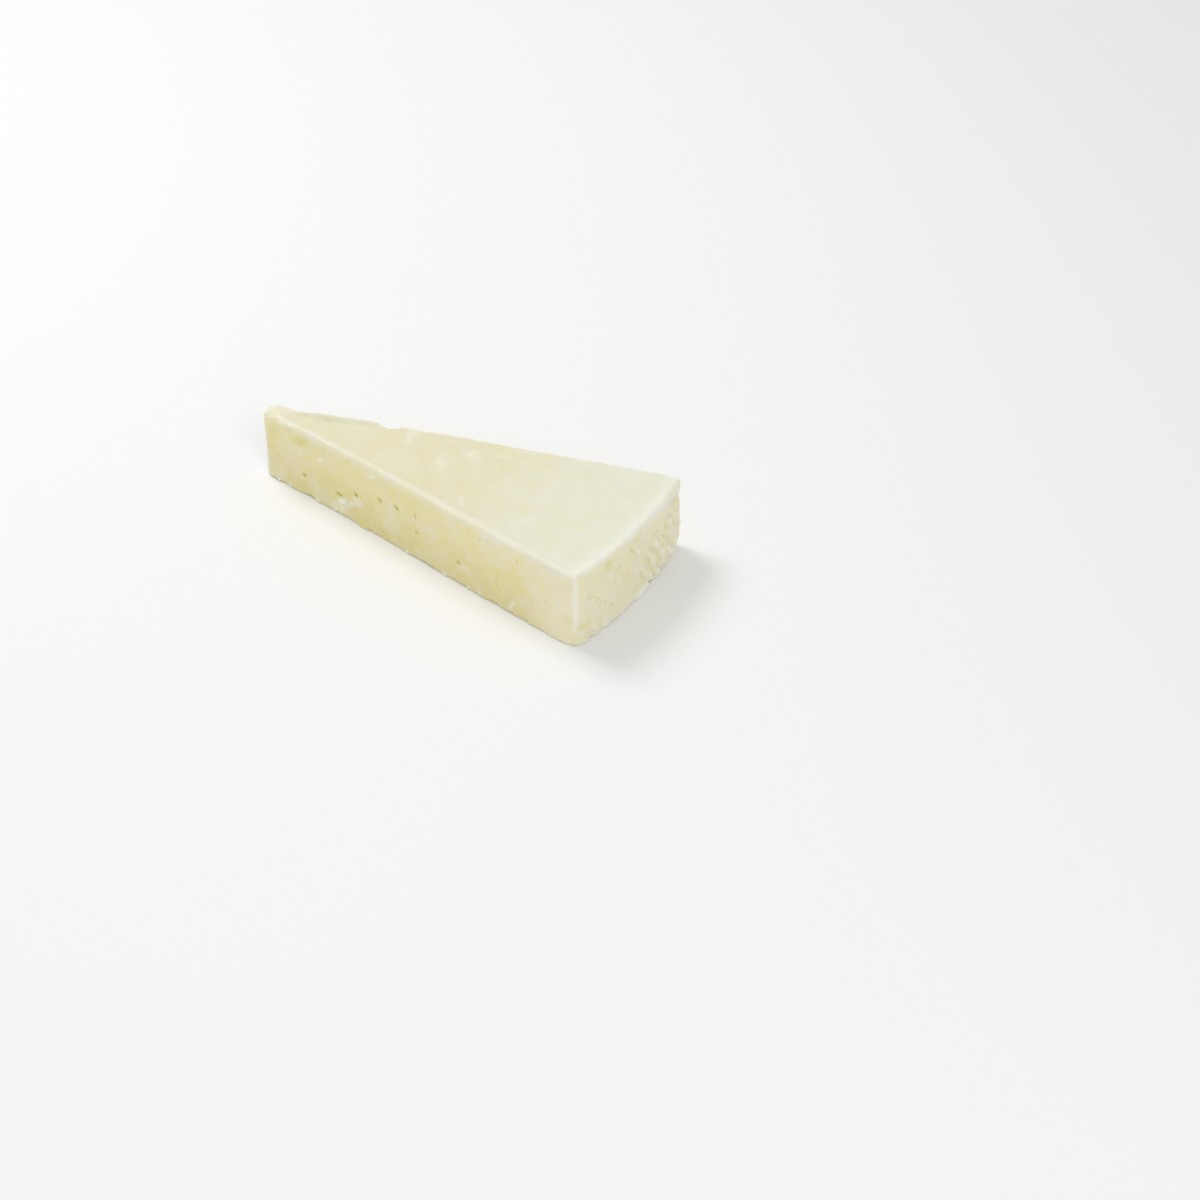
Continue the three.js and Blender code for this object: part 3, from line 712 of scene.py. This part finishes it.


# Where the surface is drier, yellower or whiter than the rest, and where light and shade are painted into its
# colour: a painted glow along the edges and feet, a painted highlight on the front-heel corner, the cuts
# painted paler high up, and painted shade in the heel's pits, gaps and crease and towards the front's foot.
# Two noises,
# patchy and ragged, make the edges waver: each pair called waver says how much of both is added. Spots say x,
# up, half width, half height, lean and strength; on the heel they say y in place of x, and on the top y in
# place of up.
tints = {
    "patchy": (6, 51, 3),
    "ragged": (2.2, 52, 2),
    # line: a pale dry edge along the front's top, with a painted glow fading down the front from it
    "line": {
        "from": 0.8, "fromWaver": (0, 0.3), "reach": 1.1, "top": 0.42, "side": 0.9, "fade": 2.1, "deep": 0.1,
        "deepFade": 8, "waver": (0.35, 0.2),
    },
    "rearBand": {
        "from": 0.4, "fromWaver": (0.3, 0), "reach": 2.6, "strength": 0.7, "waver": (0.25, 0), "far": 0.12,
        "near": 0.2, "turn": (60, 25),
    },
    # rim and heelBand: partly a dry rind, partly a painted glow along the heel's top edge
    "rim": {
        "strength": 0.92, "waver": (0.1, 0), "fall": 5.0, "fallTurn": (5, 30), "edge": (-1.2, 3.2),
        "edgeWaver": (0.8, 1.1), "rearLess": 0.25, "turn": (12, 26),
    },
    "heelBand": {"from": 1.8, "fromWaver": (0, 0.25), "reach": 3.2, "strength": 0.6},
    # upright: a painted highlight along the corner between the front and the heel
    "upright": {"from": 0.3, "reach": 0.9, "low": (7, 10)},
    "streak": {"strength": 0.5, "x": 158.6, "wide": 0.5, "low": (4, 8), "high": (24, 18)},
    "tipBand": {
        "strength": 0.6, "waver": (0.3, 0), "edge": (0.8, 2.6), "edgeWaver": (0, 0.8), "topLess": 0.5,
    },
    "tipTop": {
        "strength": 0.4, "waver": (0, 0.8), "edge": (3, 10), "edgeWaver": (2.0, 0), "down": (1.2, 4.5),
        "downWaver": (0, 1),
    },
    # the feet: partly dry, partly painted bounce light that pales the foot
    "frontFoot": {"strength": 0.1, "waver": (0, 0.3), "high": 2.0},
    "rearFoot": {"strength": 0.3, "waver": (0, 0), "high": 3.0},
    "heelFoot": {"strength": 0.3, "waver": (0.3, 0), "high": 3.5},
    # footShade: painted shade, the front darker and yellower towards its foot
    "footShade": {"strength": 0.2, "waver": (0.1, 0), "high": 6},
    "stainWaver": (0, 0.5),
    "haloStain": 0.7,
    # pitShade: painted shade in the heel's pits and the gaps between its lumps
    "pitShade": 0.45,
    "whiteShare": 0.8,
    "whiteWaver": (0, 0.8),
    "chalkWhite": 0.8,
    "brokenWhite": 0.35,
    "rimWhite": {
        "heel": 0.4, "down": (0.2, 1.0), "top": 0.2, "in": (0.8, 1.2), "rearLess": 0.5, "turn": (12, 24),
    },
    # darkerLine: a faint darker band just behind the front's top edge
    "darkerLine": 0.35,
    "nearRim": {"top": (88, 148), "sides": (126, 154), "waver": (5, 0)},
    # rise: painted light, the cut faces darker and yellower low down and paler towards the top
    "rise": {"edge": (-8, 36), "waver": (1.5, 0)},
    "spotFade": 0.9,
    # The rear cut has the front's spots again, turned round: from which x they count back, and their strength
    "rearStains": (170, 0.7),
    "rearWhites": (178, 0.5),
    "stains": [
        (29.2, 24.6, 4.2, 2.4, 0.25, 1.25), (24, 26.9, 2, 1.2, 0, 0.9), (52.3, 27.4, 2.6, 1.2, 0.4, 0.8),
        (41, 28, 1.6, 1, 0, 0.6), (97.6, 26.9, 1.8, 0.9, 0, 0.4), (132.6, 5.6, 1.2, 2.2, -0.6, 0.5),
        (38, 25, 9, 3.4, 0.1, 0.35), (76, 26, 16, 3.2, 0, 0.3), (18, 16, 4, 9, 0, 0.08),
        (15.5, 26, 1.6, 1.2, 0, 0.4), (105, 10.6, 1.8, 1.4, 0, 0.4), (16, 24.5, 3, 4, 0, 0.35),
        (64, 11, 1.6, 7, 0, 0.3), (54, 12.6, 2.6, 2, 0.3, 0.4), (46, 8.8, 3.6, 1.6, 0.4, 0.6),
        (13.5, 15, 1.6, 1.4, 0, 0.4), (52.6, 5.8, 2.6, 2.4, 0, 0.35), (75, 8, 7, 3, 0.3, 0.25),
    ],
    # heelShades: painted shade in the heel's pits and along its corner crease
    "heelShades": [
        (-17.5, 27.6, 2, 1.6, 0, 0.6), (-30.5, 8.6, 3.4, 1, -0.35, 0.5), (-26.8, 20, 1.6, 1, 0, 0.4),
    ],
    "topStains": [
        (35.5, 3.2, 0.9, 0.7, 0, 0.9), (27, 2.4, 4, 1.4, 0.2, 0.3), (34, 4.6, 4, 1.8, 0.2, 0.2),
    ],
    "whites": [
        (48.4, 6.6, 1.5, 1.3, 0.2, 1.1), (50.6, 5.6, 1.8, 1, 0.5, 0.9), (45.6, 2.6, 1.6, 2.2, 0, 0.55),
        (53.6, 8.2, 1.6, 0.8, 0.5, 0.8), (48.6, 4, 2, 1.6, 0.2, 0.45), (55.6, 11.6, 1.3, 0.7, 0.4, 0.7),
        (44, 1, 1.6, 1.2, 0, 0.6), (38.4, 21, 1, 0.6, 0.2, 0.8), (64.5, 26.2, 1.2, 0.6, 0.4, 0.6),
        (28.6, 20, 3, 1.8, 0.3, 0.3), (108.3, 8.6, 2.2, 0.9, 0.3, 0.6), (118, 27.2, 2.6, 1.8, 0.5, 0.5),
        (128.2, 25.4, 1, 2.4, -0.5, 0.5), (130.9, 4.6, 0.8, 2.6, -0.6, 0.7), (98.7, 0.8, 0.9, 0.7, 0, 1),
        (14.5, 5, 4, 4.5, 0, 0.22), (86, 3.4, 1.6, 1.2, 0.8, 0.4), (123, 29, 3.4, 1.2, 0.5, 0.4),
    ],
    "heelWhites": [
        (2.4, 2, 5, 2.2, 0, 0.9), (-18.6, 2.6, 2.4, 1.6, 0, 0.5), (24, 5, 4, 2.2, -0.4, 0.4),
    ],
    "topWhites": [
        (92.5, 9.6, 3, 2.2, -0.9, 0.5), (86, 0, 6, 2.2, -1, 0.35), (67.8, 8.3, 4.4, 1.4, -1.3, 0.5),
        (103.5, -16.5, 3.2, 0.9, -1, 0.35), (128.6, -15.4, 4.2, 1, 1.2, 0.3),
        (119.5, -7, 1.4, 0.6, -0.6, 0.35), (107, 20, 4, 0.7, 0.3, 0.35), (103, 14.4, 3.2, 0.8, 0.3, 0.4),
        (18.2, -3.4, 1.8, 0.8, -0.3, 0.6), (23.5, -4.7, 2, 0.8, -0.2, 0.6), (39, -8, 1.8, 0.6, -0.2, 0.5),
    ],
    # topDarker: darker, greyer patches on the top behind the tip
    "topDarker": [
        (28, 3.4, 5, 1.8, 0.2, 0.6), (36, 5, 6, 2, 0.2, 0.8), (46, 7.6, 6, 1.4, 0.2, 0.5),
        (35.5, 3.2, 0.8, 0.6, 0, 1),
    ],
}


def spots(x, z, items):
    value = np.zeros_like(x)
    for item in items:
        value = np.maximum(value, item[5] * np.exp(-tints["spotFade"] * eyeDistance(x, z, item) ** 2))
    return value


def onSides(at, front, rear, heelSpots):
    # spots on the two cuts and the heel
    start, strength = tints[rear]
    value = at.onFront * spots(at.x, at.z, tints[front]) + at.onHeel * spots(at.y, at.z, tints[heelSpots])
    return value + strength * at.onRear * spots(start - at.x, at.z, tints[front])


class Tones(Places):
    # the places, with the two noises that make a tint's edge waver
    def __init__(self, bm):
        super().__init__(bm)
        self.patchy = uneven(self.points, *tints["patchy"])
        self.ragged = uneven(self.points, *tints["ragged"])

    def waver(self, part, name="waver"):
        patchyShare, raggedShare = part[name]
        return patchyShare * self.patchy + raggedShare * self.ragged

    def band(self, distance, part):
        beyond = np.maximum(distance - part["from"], 0) * (1 + self.waver(part, "fromWaver"))
        return hill(beyond, part["reach"])

    def foot(self, share, part):
        return share * hill(self.z, part["high"]) * (part["strength"] + self.waver(part))


# The pale bands: partly a dry rind, partly painted light, a glow along the front's top edge, the heel's rim
# and the feet, and a painted highlight on the front-heel corner
def dryAndGlowShare(at, nearLine):
    line = tints["line"]
    # painted glow: the front paler down from its top edge
    downFront = line["side"] * np.exp(-at.below / line["fade"])
    downFront = downFront + line["deep"] * np.exp(-at.below / line["deepFade"])
    downFront = downFront * at.onFront * (1 + at.waver(line))
    rear = tints["rearBand"]
    overRear = at.band(np.hypot(at.inRear, at.below), rear) * (rear["strength"] + at.waver(rear))
    overRear = overRear * (rear["far"] + rear["near"] * ramp(at.x, *rear["turn"]))
    # partly dry rind, partly painted glow on the heel's rim
    rim = tints["rim"]
    down = at.below + at.waver(rim, "edgeWaver") - rim["fall"] * ramp(at.y, *rim["fallTurn"])
    onRim = rim["strength"] + at.waver(rim) - rim["rearLess"] * ramp(at.y, *rim["turn"])
    onRim = onRim * at.onHeel * (1 - ramp(down, *rim["edge"]))
    overHeel = tints["heelBand"]["strength"] * at.band(at.inHeel, tints["heelBand"]) * at.onTop
    # painted highlight on the front-heel corner
    upright = tints["upright"]
    corner = hill(np.hypot(at.inFront, at.inHeel) - upright["from"], upright["reach"])
    corner = corner * ramp(at.z, *upright["low"])
    streak = tints["streak"]
    onStreak = streak["strength"] * at.onFront * hill(at.x - streak["x"], streak["wide"])
    onStreak = onStreak * ramp(at.z, *streak["low"]) * ramp(at.z, *streak["high"])
    tip = tints["tipBand"]
    onTip = 1 - ramp(at.inTip + at.waver(tip, "edgeWaver"), *tip["edge"])
    onTip = onTip * (tip["strength"] + at.waver(tip)) * (1 - tip["topLess"] * at.onTop)
    tipTop = tints["tipTop"]
    overTip = 1 - ramp(at.inTip + at.waver(tipTop, "edgeWaver"), *tipTop["edge"])
    overTip = overTip * (1 - ramp(at.below + at.waver(tipTop, "downWaver"), *tipTop["down"]))
    overTip = overTip * tipTop["strength"] * (1 + at.waver(tipTop))
    # partly dry, partly painted bounce light at the feet
    cutsFoot = at.foot(at.onFront, tints["frontFoot"]) + at.foot(at.onRear, tints["rearFoot"])
    dry = np.maximum.reduce([
        line["top"] * nearLine, downFront, overRear, onRim, overHeel, corner, onStreak, onTip, overTip,
        cutsFoot, at.foot(at.onHeel, tints["heelFoot"]),
    ])
    return np.clip(dry, 0, 1)


def tint(bm, lumpShare, pitShadeShare, eyeDepth, halo, broken, chalk):
    at = Tones(bm)
    nearLine = at.band(np.hypot(at.inFront, at.below), tints["line"])
    # real stains, with the painted shade of the pits, gaps, crease and foot
    stains = np.maximum.reduce([
        onSides(at, "stains", "rearStains", "heelShades") * (1 + at.waver(tints, "stainWaver")),
        tints["haloStain"] * halo,
        # painted shade towards the front's foot
        at.foot(at.onFront, tints["footShade"]),
        # painted shade in the heel's pits and gaps
        tints["pitShade"] * pitShadeShare,
        at.onTop * spots(at.x, at.y, tints["topStains"]),
    ])
    # rimWhite: partly a whiter rind, partly a painted glow on the heel's rim
    rim = tints["rimWhite"]
    rimWhite = rim["heel"] * at.onHeel * hill(at.below - rim["down"][0], rim["down"][1])
    rimWhite = rimWhite + rim["top"] * at.onTop * hill(at.inHeel - rim["in"][0], rim["in"][1])
    whites = onSides(at, "whites", "rearWhites", "heelWhites")
    whites = whites + at.onTop * spots(at.x, at.y, tints["topWhites"])
    whites = np.maximum.reduce([
        whites * (tints["whiteShare"] + at.waver(tints, "whiteWaver")),
        tints["chalkWhite"] * chalk,
        tints["brokenWhite"] * broken,
        rimWhite * (1 - rim["rearLess"] * ramp(at.y, *rim["turn"])),
    ])
    darker = spots(at.x, at.y, tints["topDarker"]) * (1 + at.waver(tints, "stainWaver"))
    rimward, rise = tints["nearRim"], tints["rise"]
    x = at.x + at.waver(rimward)
    return {
        "cutFace": np.clip(at.onFront + at.onRear, 0, 1),
        # painted light on the cuts, by height
        "rise": ramp(at.z + at.waver(rise), *rise["edge"]),
        "heelFace": at.onHeel,
        "nearRim": ramp(x, *rimward["top"]) * at.onTop + ramp(x, *rimward["sides"]) * (1 - at.onTop),
        # dry rind with painted glow and highlight
        "dryAndGlowEdge": dryAndGlowShare(at, nearLine) * (1 - at.onBase),
        "stainAndShade": np.clip(stains, 0, 1),
        # the eyes' olive colour, partly painted shade in their hollows
        "eyeDepth": eyeDepth,
        "chalk": np.clip(whites, 0, 1) * (1 - at.onBase),
        # the lumps' whitening: partly paler curds, partly a painted highlight
        "lump": lumpShare,
        # darker, greyer patches on the top
        "darker": np.maximum(darker, tints["darkerLine"] * nearLine) * at.onTop,
    }


shares = tint(bm, lumpShare, pitShadeShare, eyeDepth, halo, broken, chalk)
layers = {name: bm.verts.layers.float.new(name) for name in shares}
for name, values in shares.items():
    for v, value in zip(bm.verts, values):
        v[layers[name]] = value
plainBase(bm)
print("tinted:", len(bm.verts), "points")

# into its place, in metres
metre = 0.001  # for each millimetre
place = Matrix.Translation((cadBox[0].x - metre * wedge["tipInset"], metre * wedge["placeY"], 0))
bmesh.ops.transform(bm, matrix=place @ Matrix.Scale(metre, 4), verts=bm.verts[:])
mesh = bpy.data.meshes.new("cheeseBody")
bm.to_mesh(mesh)
bm.free()
for polygon in mesh.polygons:
    polygon.use_smooth = True
cheeseBody = bpy.data.objects.new("cheeseBody", mesh)
bpy.context.scene.collection.objects.link(cheeseBody)
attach(cheeseBody, "root")
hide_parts("cheese_wedge")


# The cheese's colours are as its albedo; sizes here are in metres.
look = {
    "top": (0.765, 0.725, 0.524, 1),
    "topNearRim": (0.797, 0.790, 0.648, 1),
    # the cuts' two colours paint light: darker and yellower low down, paler high up
    "cutLowShaded": (0.735, 0.650, 0.350, 1),
    "cutHighLit": (0.921, 0.828, 0.474, 1),
    "cutNearRim": (0.889, 0.824, 0.608, 1),
    "heel": (0.850, 0.810, 0.583, 1),
    # dry: the paler dry colour; along the edges and feet it also paints a glow of light
    "dry": (0.860, 0.862, 0.775, 1),
    # the colour of the top's darker, greyer patches
    "darker": (0.600, 0.590, 0.420, 1),
    "stainAndShade": (0.740, 0.690, 0.200, 1),
    # eye: the eyes' olive colour, laid in by their depth, partly painted shade in their hollows
    "eye": (0.640, 0.570, 0.170, 1),
    "chalk": (0.950, 0.945, 0.900, 1),
    # Mottles: size, detail, roughness, distortion, and how much they pale and deepen
    "mottles": [(0.011, 4, 0.55, 0.3, 0.32, 0.224), (0.0034, 3, 0.6, 0.4, 0.24, 0.168)],
    "paleFrom": (0.50, 0.68),
    "deepFrom": (0.50, 0.32),
    "smoothShare": 0.5,  # of the mottles, on the faces that weren't cut
    "specks": {"cloud": (0.0011, 3, 0.6), "from": (0.62, 0.75), "strength": 0.25},
    "strengths": {"stainAndShade": 0.85, "darker": 0.9, "lump": 0.38, "eyeDepth": 0.7},
    "roughness": (0.42, 0.58),
    "roughPatch": 0.004,
    "roughFrom": (0.3, 0.7),
    "dryRougher": 0.15,
    "index": 1.44,
    "scatter": (1.0, 0.8, 0.5),
    "depth": 0.0009,
    # Relief too fine for the net: size, detail, roughness, height, strength
    "swells": (0.0032, 3, 0.5, 0.00025, 0.45),
    "grain": (0.0007, 3, 0.6, 0.00008, 0.5),
    "crumb": (0.0005, 2, 0.7, 0.0003, 0.6),
}


def growIvory():
    material = bpy.data.materials.new("ivoryCheese")
    material.use_nodes = True
    tree = material.node_tree
    nodes, links = tree.nodes, tree.links
    shader = nodes["Principled BSDF"]
    place = nodes.new("ShaderNodeTexCoord").outputs["Object"]

    def feed(socket, value):
        if hasattr(value, "links"):
            links.new(value, socket)
        else:
            socket.default_value = value

    def combine(operation, a, b):
        node = nodes.new("ShaderNodeMath")
        node.operation = operation
        feed(node.inputs[0], a)
        feed(node.inputs[1], b)
        return node.outputs[0]

    def cloud(size, detail=3.0, rough=0.5, distort=0.0):
        node = nodes.new("ShaderNodeTexNoise")
        links.new(place, node.inputs["Vector"])
        node.inputs["Scale"].default_value = 1 / size
        node.inputs["Detail"].default_value = detail
        node.inputs["Roughness"].default_value = rough
        node.inputs["Distortion"].default_value = distort
        return node.outputs["Fac"]

    def spread(value, low, high, toLow=0.0, toHigh=1.0):
        node = nodes.new("ShaderNodeMapRange")
        links.new(value, node.inputs["Value"])
        for name, number in (("From Min", low), ("From Max", high), ("To Min", toLow), ("To Max", toHigh)):
            node.inputs[name].default_value = number
        return node.outputs["Result"]

    def share(name):
        node = nodes.new("ShaderNodeAttribute")
        node.attribute_name = name
        return node.outputs["Fac"]

    def partShare(name):
        return combine("MULTIPLY", share(name), look["strengths"][name])

    def blendColor(below, color, factor):
        node = nodes.new("ShaderNodeMix")
        node.data_type = "RGBA"
        links.new(factor, next(i for i in node.inputs if i.name == "Factor" and i.type == "VALUE"))
        feed(next(i for i in node.inputs if i.name == "A" and i.type == "RGBA"), below)
        feed(next(i for i in node.inputs if i.name == "B" and i.type == "RGBA"), color)
        return next(o for o in node.outputs if o.type == "RGBA")

    # painted light: the cuts go from a shaded colour low down to a lit one high up
    cutColor = blendColor(look["cutLowShaded"], look["cutHighLit"], share("rise"))
    cutColor = blendColor(cutColor, look["cutNearRim"], share("nearRim"))
    color = blendColor(look["top"], look["topNearRim"], share("nearRim"))
    color = blendColor(color, cutColor, share("cutFace"))
    color = blendColor(color, look["heel"], share("heelFace"))
    # the cuts are more mottled than the pressed faces
    cutShare = combine("MULTIPLY", share("cutFace"), 1 - look["smoothShare"])
    mottled = combine("ADD", cutShare, look["smoothShare"])
    for size, detail, rough, distort, paler, deeper in look["mottles"]:
        pattern = cloud(size, detail, rough, distort)
        pale = combine("MULTIPLY", spread(pattern, *look["paleFrom"], 0, paler), mottled)
        deep = combine("MULTIPLY", spread(pattern, *look["deepFrom"], 0, deeper), mottled)
        color = blendColor(color, look["dry"], pale)
        color = blendColor(color, look["stainAndShade"], deep)
    # real stains and painted shade
    color = blendColor(color, look["stainAndShade"], partShare("stainAndShade"))
    # darker, greyer patches on the top
    color = blendColor(color, look["darker"], partShare("darker"))
    # dry rind and painted glow along the edges and feet
    color = blendColor(color, look["dry"], share("dryAndGlowEdge"))
    # the lumps whitened: partly paler curds, partly a painted highlight on their crowns
    color = blendColor(color, look["dry"], partShare("lump"))
    # the eyes' olive colour and painted shade in their hollows
    color = blendColor(color, look["eye"], partShare("eyeDepth"))
    color = blendColor(color, look["chalk"], share("chalk"))
    specks = look["specks"]
    fine = spread(cloud(*specks["cloud"]), *specks["from"])
    color = blendColor(color, look["dry"], combine("MULTIPLY", fine, specks["strength"]))
    links.new(color, shader.inputs["Base Color"])

    rough = spread(cloud(look["roughPatch"]), *look["roughFrom"], *look["roughness"])
    for name in ("dryAndGlowEdge", "chalk"):
        rough = combine("ADD", rough, combine("MULTIPLY", share(name), look["dryRougher"]))
    links.new(rough, shader.inputs["Roughness"])
    shader.inputs["IOR"].default_value = look["index"]
    shader.inputs["Subsurface Weight"].default_value = 1.0
    shader.inputs["Subsurface Radius"].default_value = look["scatter"]
    shader.inputs["Subsurface Scale"].default_value = look["depth"]

    below = None
    for name in ("swells", "grain", "crumb"):
        size, detail, roughness, height, strength = look[name]
        pattern = cloud(size, detail, roughness)
        if name == "crumb":
            pattern = combine("MULTIPLY", pattern, share("chalk"))
        relief = nodes.new("ShaderNodeBump")
        links.new(pattern, relief.inputs["Height"])
        relief.inputs["Distance"].default_value = height
        relief.inputs["Strength"].default_value = strength
        if below:
            links.new(below, relief.inputs["Normal"])
        below = relief.outputs["Normal"]
    links.new(below, shader.inputs["Normal"])
    return material


cheeseBody.data.materials.append(growIvory())
print("ivory mixed")


# The floor, the lamps, which aim at the origin, and the camera
studio = {
    "floorSize": 3,
    "floor": (0.9, 0.9, 0.9, 1),
    "floorRough": 0.9,
    "sky": 0.62,
    "skyColor": (1, 1, 1, 1),
    "lamps": {
        "key": {"watts": 4.4, "at": (-0.6, 0.15, 0.9)},  # from beyond the tip
        "fill": {"watts": 2.2, "at": (0.62, -0.55, 0.72)},  # from the camera's side
    },
    "lampSize": 0.5,
    "lens": 87,
    "sensor": 36,
    "cameraAt": (0.44308, -0.69523, 0.65873),
    "cameraAim": (0.06545, -0.00698, 0),
}


def layFloor():
    bm = bmesh.new()
    bmesh.ops.create_grid(bm, x_segments=1, y_segments=1, size=studio["floorSize"])
    mesh = bpy.data.meshes.new("floor")
    bm.to_mesh(mesh)
    bm.free()
    floor = bpy.data.objects.new("floor", mesh)
    bpy.context.scene.collection.objects.link(floor)
    paint = bpy.data.materials.new("palePaper")
    paint.use_nodes = True
    shader = paint.node_tree.nodes["Principled BSDF"]
    shader.inputs["Base Color"].default_value = studio["floor"]
    shader.inputs["Roughness"].default_value = studio["floorRough"]
    floor.data.materials.append(paint)


def lightStudio():
    world = bpy.data.worlds.new("studio")
    bpy.context.scene.world = world
    world.use_nodes = True
    background = world.node_tree.nodes["Background"]
    background.inputs["Color"].default_value = studio["skyColor"]
    background.inputs["Strength"].default_value = studio["sky"]
    for name, lamp in studio["lamps"].items():
        light = bpy.data.lights.new(name, "AREA")
        light.shape = "DISK"
        light.size = studio["lampSize"]
        light.energy = lamp["watts"]
        stand = bpy.data.objects.new(name, light)
        stand.location = lamp["at"]
        stand.rotation_euler = (-stand.location).to_track_quat("-Z", "Y").to_euler()
        bpy.context.scene.collection.objects.link(stand)


def setCamera():
    camera = bpy.data.cameras.new("camera")
    camera.lens = studio["lens"]
    camera.sensor_width = studio["sensor"]
    eye = bpy.data.objects.new("camera", camera)
    eye.location = studio["cameraAt"]
    aim = Vector(studio["cameraAim"]) - eye.location
    eye.rotation_euler = aim.to_track_quat("-Z", "Y").to_euler()
    bpy.context.scene.collection.objects.link(eye)
    bpy.context.scene.camera = eye


layFloor()
lightStudio()
setCamera()
bpy.context.scene.view_settings.view_transform = "Standard"
print("studio set")
